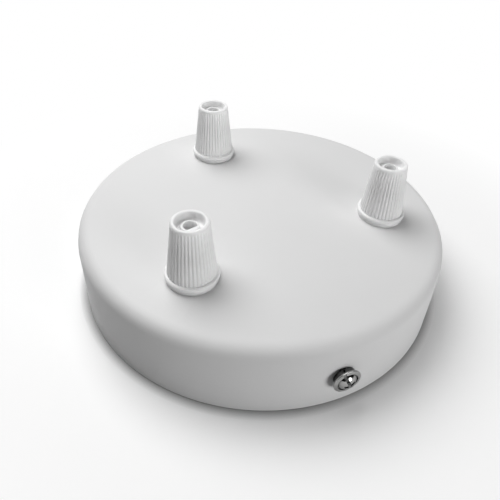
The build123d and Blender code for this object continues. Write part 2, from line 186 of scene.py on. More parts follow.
def seen_mask(tree):
    """One for rays from the camera, from mirror-like metal or through something clear, else zero."""
    path = tree.nodes.new("ShaderNodeLightPath")
    last = path.outputs["Is Camera Ray"]
    for label in ("Is Glossy Ray", "Is Transmission Ray"):
        either = tree.nodes.new("ShaderNodeMath")
        either.operation = "MAXIMUM"
        tree.links.new(last, either.inputs[0])
        tree.links.new(path.outputs[label], either.inputs[1])
        last = either.outputs[0]
    return last


def mix_shaders(tree, mask, first, second):
    """The first shader where the mask is zero and the second where it is one."""
    mix = tree.nodes.new("ShaderNodeMixShader")
    tree.links.new(mask, mix.inputs["Fac"])
    tree.links.new(first, mix.inputs[1])
    tree.links.new(second, mix.inputs[2])
    return mix.outputs["Shader"]


paper = bpy.data.materials.new("table paper")
paper.use_nodes = True
tree = paper.node_tree
near = tree.nodes["Principled BSDF"]
near.inputs["Roughness"].default_value = 0.9
near.inputs["Specular IOR Level"].default_value = 0.2
near.inputs["Emission Strength"].default_value = PAPER_GLOW
# Painted contact shadow: the Ambient Occlusion node darkens the paper's colour and its glow next to the cup.
openness = tree.nodes.new("ShaderNodeAmbientOcclusion")
openness.samples = OCCLUSION_SAMPLES
openness.inputs["Distance"].default_value = CONTACT_REACH
contact = tree.nodes.new("ShaderNodeMath")
contact.operation = "POWER"
contact.inputs[1].default_value = CONTACT_DEPTH
tree.links.new(openness.outputs["AO"], contact.inputs[0])
for label, whole in (("Base Color", PAPER_SEEN), ("Emission Color", 1.0)):
    shade = tree.nodes.new("ShaderNodeMix")
    shade.data_type = "RGBA"
    shade.inputs["A"].default_value = grey(0)
    shade.inputs["B"].default_value = grey(whole)
    tree.links.new(contact.outputs[0], shade.inputs["Factor"])
    tree.links.new(shade.outputs["Result"], near.inputs[label])
far = tree.nodes.new("ShaderNodeEmission")
bounce = tree.nodes.new("ShaderNodeBsdfDiffuse")
bounce.inputs["Color"].default_value = grey(PAPER_BOUNCE)
where = tree.nodes.new("ShaderNodeTexCoord")
length = tree.nodes.new("ShaderNodeVectorMath")
length.operation = "LENGTH"
fade = tree.nodes.new("ShaderNodeMapRange")
fade.inputs["From Min"].default_value = WHITE_FROM
fade.inputs["From Max"].default_value = WHITE_FULL
tree.links.new(where.outputs["Object"], length.inputs[0])
tree.links.new(length.outputs["Value"], fade.inputs["Value"])
seen = mix_shaders(tree, fade.outputs["Result"], near.outputs["BSDF"], far.outputs["Emission"])
surface = mix_shaders(tree, seen_mask(tree), bounce.outputs["BSDF"], seen)
tree.links.new(surface, tree.nodes["Material Output"].inputs["Surface"])

bm = bmesh.new()
bmesh.ops.create_circle(bm, cap_ends=True, radius=TABLE_R, segments=96)
table = link("table", mesh_from(bm, "table"), [paper])
print("table radius", TABLE_R, "m, plain white beyond", WHITE_FULL, "m")

# %% [markdown]
# The world gives no light of its own. It is white where a ray from the camera or from bright metal
# looks past the table. The room behind the camera is dark in most studios, and that dark half is
# what draws black lines in polished nickel. It is a shell that only reflections can see.

# %% World and dark room
ROOM_R = 1.2
ROOM_FOOT = 0.05
ROOM_FRONT = 0.0
ROOM_WELD = 1e-5


def clip(bm, point, outward, weld):
    """Cuts a mesh along a plane and throws away what lies on the outward side."""
    bmesh.ops.bisect_plane(
        bm, geom=bm.verts[:] + bm.edges[:] + bm.faces[:], dist=weld, plane_co=point,
        plane_no=outward, clear_outer=True,
    )


world = bpy.data.worlds.new("studio")
bpy.context.scene.world = world
world.use_nodes = True
tree = world.node_tree
tree.nodes.clear()
output = tree.nodes.new("ShaderNodeOutputWorld")
unlit = tree.nodes.new("ShaderNodeBackground")
unlit.inputs["Strength"].default_value = 0.0
white = tree.nodes.new("ShaderNodeBackground")
white.inputs["Color"].default_value = grey(1)
white.inputs["Strength"].default_value = 1.0
background = mix_shaders(tree, seen_mask(tree), unlit.outputs["Background"], white.outputs["Background"])
tree.links.new(background, output.inputs["Surface"])

black = bpy.data.materials.new("dark room")
black.use_nodes = True
black.node_tree.nodes["Principled BSDF"].inputs["Base Color"].default_value = grey(0.01)
black.node_tree.nodes["Principled BSDF"].inputs["Specular IOR Level"].default_value = 0.0
bm = bmesh.new()
bmesh.ops.create_uvsphere(bm, u_segments=48, v_segments=24, radius=ROOM_R)
clip(bm, (0, 0, ROOM_FOOT), (0, 0, -1), ROOM_WELD)
clip(bm, (0, ROOM_FRONT, 0), (0, 1, 0), ROOM_WELD)
room = link("dark_room", mesh_from(bm, "dark_room"), [black])
room.visible_camera = False
room.visible_diffuse = False
room.visible_transmission = False
room.visible_shadow = False
print("dark room faces", len(room.data.polygons))

# %% [markdown]
# Two round lamps light the rose. The large one, high behind, brightens the face and throws the
# shadow towards the camera. The one low in front fills in the wall. It is kept small and further
# off, because polished metal mirrors it: a large one would fill a screw's whole dome with white.

# %% Lamps
AIM = Vector((0, 0, 0.02))
LAMPS = {
    "high_behind": {"azimuth": 118, "elevation": 63, "distance": 0.55, "size": 0.5, "watts": 3.1},
    "low_in_front": {"azimuth": 292, "elevation": 10, "distance": 0.8, "size": 0.4, "watts": 3.4},
}

for name, lamp in LAMPS.items():
    data = bpy.data.lights.new(name, "AREA")
    data.shape = "DISK"
    data.size = lamp["size"]
    data.energy = lamp["watts"]
    spot = turn(lamp["azimuth"], "Z") @ turn(-lamp["elevation"], "Y") @ Vector((lamp["distance"], 0, 0))
    thing = bpy.data.objects.new(name, data)
    thing.matrix_world = Matrix.Translation(spot) @ (AIM - spot).to_track_quat("-Z", "Y").to_matrix().to_4x4()
    bpy.context.scene.collection.objects.link(thing)
    print(name, "lamp at", tuple(round(c, 3) for c in spot), lamp["watts"], "W")

bpy.context.scene.view_settings.view_transform = "Standard"

# %% [markdown]
# ## Shared effects for the materials
# Real surfaces are never one flat value. Two effects come back in every finish here, so each is a
# node group with named inputs: `surface grain` is a fine height pattern for bump, as orange peel
# or moulding texture, and `uneven` is a slow wander between two values, for colour and roughness.
# A group holds only patterns. The shader stays in each material, where an export can read it.

# %% Node groups


def new_group(name, inputs, outputs):
    """An empty node group with float inputs (name, default) and outputs (name)."""
    tree = bpy.data.node_groups.new(name, "ShaderNodeTree")
    for label, default in inputs:
        socket = tree.interface.new_socket(label, in_out="INPUT", socket_type="NodeSocketFloat")
        socket.default_value = default
    for label in outputs:
        tree.interface.new_socket(label, in_out="OUTPUT", socket_type="NodeSocketFloat")
    return tree, tree.nodes.new("NodeGroupInput"), tree.nodes.new("NodeGroupOutput")


def sized_noise(tree, size):
    """Noise in the piece's own coordinates, whose size in millimetres comes from a socket."""
    where = tree.nodes.new("ShaderNodeTexCoord")
    scale = tree.nodes.new("ShaderNodeMath")
    scale.operation = "DIVIDE"
    scale.inputs[0].default_value = 1 / MM
    noise = tree.nodes.new("ShaderNodeTexNoise")
    tree.links.new(size, scale.inputs[1])
    tree.links.new(where.outputs["Object"], noise.inputs["Vector"])
    tree.links.new(scale.outputs[0], noise.inputs["Scale"])
    return noise


grain, given, made = new_group("surface grain", (("Size mm", 0.5), ("Detail", 2.0)), ("Height",))
bumps = sized_noise(grain, given.outputs["Size mm"])
grain.links.new(given.outputs["Detail"], bumps.inputs["Detail"])
grain.links.new(bumps.outputs["Fac"], made.inputs["Height"])

uneven, given, made = new_group("uneven", (("Size mm", 20.0), ("Low", 0.4), ("High", 0.6)), ("Value",))
clouds = sized_noise(uneven, given.outputs["Size mm"])
clouds.inputs["Detail"].default_value = 4.0
spread = uneven.nodes.new("ShaderNodeMapRange")
spread.inputs["From Min"].default_value = 0.3
spread.inputs["From Max"].default_value = 0.7
uneven.links.new(clouds.outputs["Fac"], spread.inputs["Value"])
uneven.links.new(given.outputs["Low"], spread.inputs["To Min"])
uneven.links.new(given.outputs["High"], spread.inputs["To Max"])
uneven.links.new(spread.outputs["Result"], made.inputs["Value"])
print("groups:", [g.name for g in bpy.data.node_groups])

# %% [markdown]
# ## The finishes
# Every finish is built the same way: two close shades that `uneven` mixes, a roughness that
# wanders between two values, and a bump from one or two sizes of `surface grain`. What makes
# powder coat differ from moulded plastic or nickel plate is only the numbers, so one function
# builds them all and a table holds the numbers.
#
# Bright nickel gets one thing more: painted shade in a screw's slots and grooves. An Ambient
# Occlusion node finds where the piece's own walls close in and takes the colour to near black
# there.

# %% Finish builder
ROUGHNESS_CLOUD = 0.6
GRAIN_DETAIL = 3.0
RECESS_SHADE_COLOUR = (0.02, 0.02, 0.02)
RECESS_SHADE_STEEPNESS = 2.5


def add_group(tree, group, **values):
    """Places a node group in a material and sets its inputs."""
    node = tree.nodes.new("ShaderNodeGroup")
    node.node_tree = group
    for label, value in values.items():
        node.inputs[label.replace("_", " ")].default_value = value
    return node


def darkened_recess(tree, colour, reach_mm):
    """The colour with painted shade: darkened where the piece's own walls close in within the reach."""
    closed_in = tree.nodes.new("ShaderNodeAmbientOcclusion")
    closed_in.only_local = True
    closed_in.samples = OCCLUSION_SAMPLES
    closed_in.inputs["Distance"].default_value = reach_mm * MM
    depth = tree.nodes.new("ShaderNodeMath")
    depth.operation = "POWER"
    depth.inputs[1].default_value = RECESS_SHADE_STEEPNESS
    painted_shade = tree.nodes.new("ShaderNodeMix")
    painted_shade.data_type = "RGBA"
    painted_shade.inputs["A"].default_value = (*RECESS_SHADE_COLOUR, 1)
    tree.links.new(closed_in.outputs["AO"], depth.inputs[0])
    tree.links.new(depth.outputs[0], painted_shade.inputs["Factor"])
    tree.links.new(colour, painted_shade.inputs["B"])
    return painted_shade.outputs["Result"]


def finish(name, shades, cloud, roughness, grains, metallic=0.0, recess_shade=0.0, **sockets):
    """A material of two shades, with wandering roughness and fine grain.

    The argument after metallic gives the width in millimetres of the painted shade in slots and grooves, and
    0 leaves it out.
    """
    material = bpy.data.materials.new(name)
    material.use_nodes = True
    tree = material.node_tree
    shader = tree.nodes["Principled BSDF"]
    shader.inputs["Metallic"].default_value = metallic
    for label, value in sockets.items():
        shader.inputs[label.replace("_", " ")].default_value = value
    mask = add_group(tree, uneven, Size_mm=cloud, Low=0.0, High=1.0)
    colours = tree.nodes.new("ShaderNodeMix")
    colours.data_type = "RGBA"
    colours.inputs["A"].default_value = (*shades[0], 1)
    colours.inputs["B"].default_value = (*shades[1], 1)
    tree.links.new(mask.outputs["Value"], colours.inputs["Factor"])
    colour = colours.outputs["Result"]
    # Painted shade: the colour goes to near black in slots and grooves.
    if recess_shade:
        colour = darkened_recess(tree, colour, recess_shade)
    tree.links.new(colour, shader.inputs["Base Color"])
    rough = add_group(tree, uneven, Size_mm=cloud * ROUGHNESS_CLOUD, Low=roughness[0], High=roughness[1])
    tree.links.new(rough.outputs["Value"], shader.inputs["Roughness"])
    normal = None
    for size, depth in grains:
        texture = add_group(tree, grain, Size_mm=size, Detail=GRAIN_DETAIL)
        bump = tree.nodes.new("ShaderNodeBump")
        bump.inputs["Distance"].default_value = depth * MM
        tree.links.new(texture.outputs["Height"], bump.inputs["Height"])
        if normal:
            tree.links.new(normal, bump.inputs["Normal"])
        normal = bump.outputs["Normal"]
    tree.links.new(normal, shader.inputs["Normal"])
    return material


# %% [markdown]
# The cup's powder coat is baked paint: nearly matt, with a faint orange peel. The grips are a
# glossier plastic that lets light sink in a little, so it gets some subsurface scattering, and so
# does the terminal strip's yellower polyamide. Most screws are bright nickel, and the spring
# washers a darker steel. The strap, nuts, flat washers and the strip's fixing screws are zinc
# plated, and the inserts are turned brass. Each entry gives the two shades, the size of their
# clouds, the two roughnesses, and the size and depth of each grain. Sizes are in millimetres.

# %% The seven finishes
MATERIALS = {
    "white_powder_coat": finish(
        "white powder coat", ((0.765, 0.765, 0.765), (0.78, 0.78, 0.78)), 30, (0.50, 0.58),
        ((1.1, 0.02), (0.25, 0.004)), Specular_IOR_Level=0.3,
    ),
    "white_plastic": finish(
        "white moulded plastic", ((0.90, 0.90, 0.90), (0.92, 0.92, 0.92)), 8, (0.34, 0.42),
        ((0.6, 0.006), (0.12, 0.001)),
        Subsurface_Weight=0.6, Subsurface_Radius=(1, 1, 1), Subsurface_Scale=0.0024,
    ),
    # Bright nickel carries painted shade, 1.2 mm wide, in its slots and grooves.
    "nickel_steel": finish(
        "bright nickel plate", ((0.38, 0.38, 0.375), (0.32, 0.32, 0.315)), 1.5, (0.09, 0.16),
        ((0.35, 0.008), (0.08, 0.0015)), metallic=1.0, recess_shade=1.2,
    ),
    "spring_steel": finish(
        "plated spring steel", ((0.11, 0.11, 0.11), (0.06, 0.06, 0.06)), 1.2, (0.24, 0.36),
        ((0.3, 0.01), (0.07, 0.002)), metallic=1.0,
    ),
    "zinc_steel": finish(
        "zinc plate", ((0.60, 0.61, 0.63), (0.52, 0.53, 0.56)), 5, (0.28, 0.42),
        ((0.8, 0.01), (0.15, 0.003)), metallic=1.0,
    ),
    "terminal_plastic": finish(
        "satin polyamide", ((0.80, 0.79, 0.75), (0.76, 0.75, 0.70)), 6, (0.38, 0.48),
        ((0.5, 0.008), (0.12, 0.002)),
        Subsurface_Weight=0.2, Subsurface_Radius=(1, 1, 1), Subsurface_Scale=0.001,
    ),
    "brass": finish(
        "turned brass", ((0.75, 0.56, 0.27), (0.66, 0.47, 0.21)), 2, (0.22, 0.34),
        ((0.25, 0.006), (0.06, 0.002)), metallic=1.0,
    ),
}
print("finishes:", sorted(MATERIALS))

# %% [markdown]
# ## Turned shapes and cuts
# Most of these pieces are round: they were turned, drawn or moulded about an axis. So the first
# helper draws half of the section as a wire in the XZ plane, with rounded corners where a corner
# has a third value, and the second spins it. Holes, slots and recesses are cut with the Boolean
# modifier, as a tool would cut them, and `join` welds two bodies into one. A cutting tool stands
# out of the work by `CLEAR`, so that no two faces lie in one plane.

# %% Wires, spins and Booleans
CORNER_STEPS = 4
FINE_STEPS = 96
WELD = 1e-4
CLEAR = 1


def wire(points, closed=False):
    """A wire in the XZ plane through (x, z) points; a third value rounds that corner."""
    bm = bmesh.new()
    verts = [bm.verts.new((point[0], 0, point[1])) for point in points]
    for a, b in zip(verts, verts[1:]):
        bm.edges.new((a, b))
    if closed:
        bm.edges.new((verts[-1], verts[0]))
    for vert, point in zip(verts, points):
        if len(point) == 3:
            bmesh.ops.bevel(
                bm, geom=[vert], offset=point[2], offset_type="OFFSET", segments=CORNER_STEPS,
                profile=0.5, affect="VERTICES", material=-1,
            )
    return bm


def spin_wire(bm, steps=FINE_STEPS):
    """Spins a wire a full turn about Z and closes its seam and poles."""
    bmesh.ops.spin(
        bm, geom=bm.verts[:] + bm.edges[:], cent=(0, 0, 0), axis=(0, 0, 1), dvec=(0, 0, 0),
        angle=2 * math.pi, steps=steps, use_merge=True, use_duplicate=False,
    )
    bmesh.ops.remove_doubles(bm, verts=bm.verts, dist=WELD)
    bmesh.ops.recalc_face_normals(bm, faces=bm.faces)
    return bm


def lathe(points, steps=FINE_STEPS, closed=False):
    """A turned solid: closed outlines make rings, and open ones start and end on the axis."""
    return spin_wire(wire(points, closed), steps)


def cylinder(radius, bottom, top, steps=48):
    """A plain round solid, for cutting holes."""
    return lathe([(0, bottom), (radius, bottom), (radius, top), (0, top)], steps)


def block(low, high):
    """A box between two corners."""
    bm = bmesh.new()
    bmesh.ops.create_cube(bm, size=1)
    size = Vector(high) - Vector(low)
    bmesh.ops.scale(bm, vec=size, verts=bm.verts)
    bmesh.ops.translate(bm, vec=(Vector(low) + Vector(high)) / 2, verts=bm.verts)
    return bm


def at(x, y, z=0):
    """A shift to a place."""
    return Matrix.Translation((x, y, z))


def moved(bm, matrix):
    """The same mesh moved, turned or both."""
    bmesh.ops.transform(bm, matrix=matrix, verts=bm.verts)
    return bm


def round_edges(bm, edges, amount, segments):
    """Rounds some of a mesh's edges."""
    bmesh.ops.bevel(
        bm, geom=edges, offset=amount, offset_type="OFFSET", segments=segments, profile=0.5,
        affect="EDGES", material=-1,
    )


def pull(bm, way):
    """Pulls a flat mesh out into a solid."""
    grown = bmesh.ops.extrude_face_region(bm, geom=bm.faces[:])["geom"]
    far_side = [item for item in grown if isinstance(item, bmesh.types.BMVert)]
    bmesh.ops.translate(bm, vec=way, verts=far_side)
    bmesh.ops.recalc_face_normals(bm, faces=bm.faces)
    return bm


def combine(bm, others, operation):
    """Cuts or joins each of the other meshes with the first, one after another."""
    body = link("work", mesh_from(bm))
    for number, other in enumerate(others):
        tool = link(f"tool{number}", mesh_from(other))
        tool.hide_render = True
        change = body.modifiers.new(f"change{number}", "BOOLEAN")
        change.operation = operation
        change.solver = "EXACT"
        change.object = tool
    seen_body = body.evaluated_get(bpy.context.evaluated_depsgraph_get())
    result = bmesh.new()
    result.from_mesh(seen_body.to_mesh())
    for thing in [m.object for m in body.modifiers] + [body]:
        mesh = thing.data
        bpy.data.objects.remove(thing)
        bpy.data.meshes.remove(mesh)
    bmesh.ops.remove_doubles(result, verts=result.verts, dist=WELD)
    bmesh.ops.holes_fill(result, edges=[edge for edge in result.edges if edge.is_boundary])
    return result


def cut(bm, *tools):
    """Takes the tools' shapes away from a mesh."""
    return combine(bm, tools, "DIFFERENCE")


def join(bm, *others):
    """Welds the others on to a mesh."""
    return combine(bm, others, "UNION")


print("helpers ready")

# %% [markdown]
# ## From a shape to a piece
# A finished piece is scaled to metres, shaded smooth except over its true edges, and tied to the
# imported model: it rides on the body of the node that it stands for, takes that node's finish, and
# the plain solid is hidden.

# %% Finish a piece
SHARP = math.radians(32)


def dress(name, bm, node, sharp=SHARP):
    """Makes the mesh the visible piece for a CAD node."""
    bmesh.ops.scale(bm, vec=(MM, MM, MM), verts=bm.verts)
    for face in bm.faces:
        face.smooth = True
    for edge in bm.edges:
        edge.smooth = not (edge.is_manifold and edge.calc_face_angle() > sharp)
    triangles = sum(len(face.verts) - 2 for face in bm.faces)
    open_edges = sum(not edge.is_manifold for edge in bm.edges)
    slot = subparts[node]
    piece = link(name, mesh_from(bm, name), [MATERIALS[slot]])
    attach(piece, frame["nodes"][node]["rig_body"])
    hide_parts(node)
    print(name, "triangles", triangles, "open edges", open_edges)
    return piece


# %% [markdown]
# ## Cup
# The cup is drawn from 1 mm steel, which leaves a generous radius between its face and its wall,
# and a raw edge at the rim that the powder coat rounds off. It is one turned section; the three
# outlets and the two side holes are punched afterwards. Nearly all the light and shade in the
# photograph lies on this one piece, so it gets many steps round.

# %% Cup
CUP_WALL = 1.0
SHOULDER_R = 4.0
RIM_EDGE = 0.48
OUTLET_HOLE_R = 5.15
SIDE_HOLE_R = 2.25
CUP_STEPS = 288

inner_r = cup_r - CUP_WALL
plate_under = plate_top - CUP_WALL
cup = lathe(
    [
        (0, plate_under),
        (inner_r, plate_under, SHOULDER_R - CUP_WALL),
        (inner_r, 0, RIM_EDGE),
        (cup_r, 0, RIM_EDGE),
        (cup_r, plate_top, SHOULDER_R),
        (0, plate_top),
    ],
    CUP_STEPS,
)
screw_z = place("side_screw_1").z
holes = [
    moved(cylinder(OUTLET_HOLE_R, plate_under - CLEAR, plate_top + CLEAR), at(*axis))
    for axis in grip_axes.values()
]
side_drill = moved(cylinder(SIDE_HOLE_R, -cup_r - CLEAR, cup_r + CLEAR), turn(90, "X"))
holes.append(moved(side_drill, at(0, 0, screw_z)))
dress("cup", cut(cup, *holes), "canopy")

# %% [markdown]
# ## Screw threads
# A thread is one V of the section carried round and up by one pitch each turn. `spin` does that
# when it is given a step along the axis, and welding the turns together leaves one unbroken
# spiral. The ends are trimmed flat, tapered so that the thread starts gently, and capped. The
# profile below gives the section's corners as shares of the pitch upward and of the depth outward.

# %% Thread maker
THREAD_DEPTH = 0.61
THREAD_PROFILE = ((0, 0), (1 / 4, 0), (9 / 16, 1), (11 / 16, 1), (1, 0))


def threaded_rod(radius, pitch, bottom, top, steps=30):
    """A right-hand thread of one start about Z, trimmed flat at both ends."""
    root = radius - THREAD_DEPTH * pitch
    start = bottom - pitch
    turns = math.ceil((top - bottom) / pitch) + 2
    bm = wire([(root + (radius - root) * out, start + pitch * up) for up, out in THREAD_PROFILE])
    bmesh.ops.spin(
        bm, geom=bm.verts[:] + bm.edges[:], cent=(0, 0, 0), axis=(0, 0, 1),
        dvec=(0, 0, pitch / steps), angle=2 * math.pi * turns, steps=steps * turns,
        use_merge=False, use_duplicate=False,
    )
    bmesh.ops.remove_doubles(bm, verts=bm.verts, dist=WELD)
    clip(bm, (0, 0, bottom), (0, 0, -1), WELD)
    clip(bm, (0, 0, top), (0, 0, 1), WELD)
    for vert in bm.verts:
        allowed = root + min(vert.co.z - bottom, top - vert.co.z)
        distance = vert.co.xy.length
        if distance > allowed:
            vert.co.xy *= allowed / distance
    bmesh.ops.remove_doubles(bm, verts=bm.verts, dist=WELD)
    bmesh.ops.holes_fill(bm, edges=[edge for edge in bm.edges if edge.is_boundary])
    bmesh.ops.recalc_face_normals(bm, faces=bm.faces)
    return bm


print("thread maker ready")

# %% [markdown]
# ## Cord grip bases
# Each grip has a base: a thin collar that sits on the cup, with a hollow M10 stud above it for the
# cap and one below it for the nut. Only the collar's edge shows at rest. The studs show from
# inside the cup and when the cap is screwed off.

# %% Cord grip bases
STUD_R = 4.95
STUD_BORE_R = 3.6
STUD_PITCH = 1.0
COLLAR_R = 7.5
COLLAR_HEIGHT = 1.3
COLLAR_EDGE = 0.55

base_low, base_high = reach("cord_grip_base_1")
collar_top = plate_top + COLLAR_HEIGHT
for i, axis in grip_axes.items():
    collar = lathe([
        (0, plate_top),
        (COLLAR_R, plate_top, 0.12),
        (COLLAR_R, collar_top, COLLAR_EDGE),
        (0, collar_top),
    ])
    lower = threaded_rod(STUD_R, STUD_PITCH, base_low.z, plate_top + COLLAR_HEIGHT / 2)
    upper = threaded_rod(STUD_R, STUD_PITCH, collar_top - COLLAR_HEIGHT / 2, base_high.z)
    base = cut(join(collar, lower, upper), cylinder(STUD_BORE_R, base_low.z - CLEAR, base_high.z + CLEAR))
    dress(f"grip_base_{i}", moved(base, at(*axis)), f"cord_grip_base_{i}")

# %% [markdown]
# ## Cord grip caps
# The cap is a moulded cone with a bead at its foot, a rounded rim and a hollow top. Its 38 flutes
# give the fingers a hold and end in round tips just below the rim. They could be cut with 38
# tools, but a moulding has soft edges that a cut lacks, so the cone is spun with twelve steps to
# each flute and its skin is pressed in where a flute runs: a smooth hollow across, and a round end.

# %% Cord grip caps
CAP_BORE_R = 5.0
BEAD_R = 7.9
BEAD_HEIGHT = 1.4
BEAD_ROUND = 0.6
CONE_FOOT_R = 7.1
CONE_TOP_R = 5.2
DISH_R = 4.05
DISH_DEPTH = 2.7
DISH_SIDE_R = 3.85
DISH_ROUND = 1.1
RIM_OUTER_ROUND = 0.55
RIM_INNER_ROUND = 0.45
NECK_HOLE_R = 2.6
INNER_CONE_R = 4.6
INNER_CONE_FOOT = 37.35
INNER_CONE_TOP = 41.05
FLUTE_COUNT = 38
FLUTE_STEPS = 12
FLUTE_WIDTH = 0.82
FLUTE_DEPTH = 0.27
FLUTE_END = 1.5
FLUTE_SHARPNESS = 1.5
SKIN = 0.02
CONE_ROWS = 44
SHADOW_GAP = 0.22
GAP_REACH = 0.6
CAP_SHARP = math.radians(50)

_, cap_high = reach("cord_grip_cap_1")
cap_top = round(cap_high.z, 3)
bead_top = collar_top + BEAD_HEIGHT
flute_end = cap_top - FLUTE_END


def press_flutes(bm):
    """Presses the flutes into a spun cap: each vertex near a flute's line moves towards the axis."""
    for vert in bm.verts:
        distance = vert.co.xy.length
        height = vert.co.z
        cone_r = CONE_FOOT_R + (CONE_TOP_R - CONE_FOOT_R) * (height - bead_top) / (cap_top - bead_top)
        if abs(distance - cone_r) > SKIN or height < bead_top - SKIN / 2:
            continue
        pitch = 2 * math.pi / FLUTE_COUNT
        angle = math.atan2(vert.co.y, vert.co.x)
        across = (angle - round(angle / pitch) * pitch) * distance
        away = math.hypot(across, max(0.0, height - flute_end)) / (FLUTE_WIDTH / 2)
        if away < 1:
            vert.co.xy *= 1 - FLUTE_DEPTH * math.cos(away * math.pi / 2) ** FLUTE_SHARPNESS / distance


for i, axis in grip_axes.items():
    cap = wire(
        [
            (CAP_BORE_R, collar_top, 0.2),
            (COLLAR_R - GAP_REACH, collar_top),
            (COLLAR_R - GAP_REACH, collar_top + SHADOW_GAP),
            (BEAD_R, collar_top + SHADOW_GAP, 0.25),
            (BEAD_R, bead_top, BEAD_ROUND),
            (CONE_FOOT_R, bead_top),
            (CONE_TOP_R, cap_top, RIM_OUTER_ROUND),
            (DISH_R, cap_top, RIM_INNER_ROUND),
            (DISH_SIDE_R, cap_top - DISH_DEPTH, DISH_ROUND),
            (NECK_HOLE_R, cap_top - DISH_DEPTH, 0.08),
            (NECK_HOLE_R, INNER_CONE_TOP),
            (INNER_CONE_R, INNER_CONE_FOOT),
            (CAP_BORE_R, INNER_CONE_FOOT),
        ],
        closed=True,
    )
    outer_edges = [edge for edge in cap.edges if edge.verts[0].co.x > CAP_BORE_R + 0.1]
    cone_edge = max(outer_edges, key=lambda edge: edge.calc_length())
    bmesh.ops.subdivide_edges(cap, edges=[cone_edge], cuts=CONE_ROWS)
    spin_wire(cap, FLUTE_COUNT * FLUTE_STEPS)
    press_flutes(cap)
    moved(cap, at(*axis))
    dress(f"grip_cap_{i}", cap, f"cord_grip_cap_{i}", CAP_SHARP)

# %% [markdown]
# ## Collets
# Inside the cap sits a collet that the cap's cone squeezes on to the cord. Only its neck shows, in
# the hollow of the cap: a thin ring round a mouth with one flat side, where the jaw is. The mouth
# is cut straight down, and a small bevel then rounds its edge.

# %% Collets
SLEEVE_R = 3.5
SLEEVE_BORE_R = 2.75
SHOULDER_FOOT = 36.2
COLLET_R = 4.6
COLLET_SHOULDER = 1.0
NECK_R = 2.45
NECK_LENGTH = 2.7
NECK_EDGE = 0.2
MOUTH_R = 1.85
MOUTH_DEPTH = 2.0
MOUTH_EDGE = 0.14
CORD_R = 1.5
LIP = 0.03
WINDOW = 0.5
WINDOW_MARGIN = 0.4
WINDOW_REACH = 6.0
JAWS = {1: 246.0, 2: 284.0, 3: 230.0}

collet_low, collet_high = reach("cord_grip_collet_1")
neck_top = round(collet_high.z, 3)
neck_foot = neck_top - NECK_LENGTH
shoulder_top = SHOULDER_FOOT + COLLET_SHOULDER
jaw_face = 2 * CORD_R - MOUTH_R
for i, axis in grip_axes.items():
    collet = lathe([
        (0, collet_low.z),
        (SLEEVE_R, collet_low.z, 0.15),
        (SLEEVE_R, SHOULDER_FOOT),
        (COLLET_R, SHOULDER_FOOT, 0.1),
        (COLLET_R, shoulder_top, 0.1),
        (NECK_R, neck_foot),
        (NECK_R, neck_top, NECK_EDGE),
        (0, neck_top),
    ])
    bmesh.ops.dissolve_limit(
        collet, angle_limit=math.radians(0.5), verts=collet.verts, edges=collet.edges,
    )
    mouth = bmesh.new()
    bmesh.ops.create_circle(mouth, cap_ends=True, radius=MOUTH_R, segments=64)
    clip(mouth, (jaw_face, 0, 0), (1, 0, 0), WELD)
    pull(mouth, (0, 0, MOUTH_DEPTH + CLEAR))
    moved(mouth, at(0, 0, neck_top - MOUTH_DEPTH))
    cord_way = cylinder(CORD_R - LIP, SHOULDER_FOOT - CLEAR, neck_top - MOUTH_DEPTH / 2)
    window_low, window_high = shoulder_top + WINDOW_MARGIN, neck_foot - WINDOW_MARGIN
    windows = []
    for angle in (45, 135):
        bar = block((-WINDOW_REACH, -WINDOW / 2, window_low), (WINDOW_REACH, WINDOW / 2, window_high))
        windows.append(moved(bar, turn(angle, "Z")))
    collet = cut(
        collet,
        cylinder(SLEEVE_BORE_R, collet_low.z - CLEAR, SHOULDER_FOOT),
        moved(cord_way, at(CORD_R - MOUTH_R, 0, 0)),
        mouth,
        *windows,
    )
    mouth_rim = [
        edge for edge in collet.edges
        if all(v.co.z > neck_top - WELD and v.co.xy.length < MOUTH_R + WELD for v in edge.verts)
        and edge.is_manifold and edge.calc_face_angle() > 1
    ]
    round_edges(collet, mouth_rim, MOUTH_EDGE, 3)
    put = at(*axis) @ turn(JAWS[i], "Z")
    dress(f"grip_collet_{i}", moved(collet, put), f"cord_grip_collet_{i}")

# %% [markdown]
# ## Washers and nuts under the face
# A plain washer and a thin hexagon nut hold each base from inside. A nut's corners are turned off
# at 30 degrees: the hexagon is intersected with a turned shape, just as the lathe leaves it.

# %% Base washers and nuts
WASHER_R = 7.6
NUT_FLATS = 14.0
NUT_CORNER_ANGLE = 30.0
NUT_BORE_GAP = 0.05
NUT_FUNNEL = 0.25
OVERLAP = 0.001

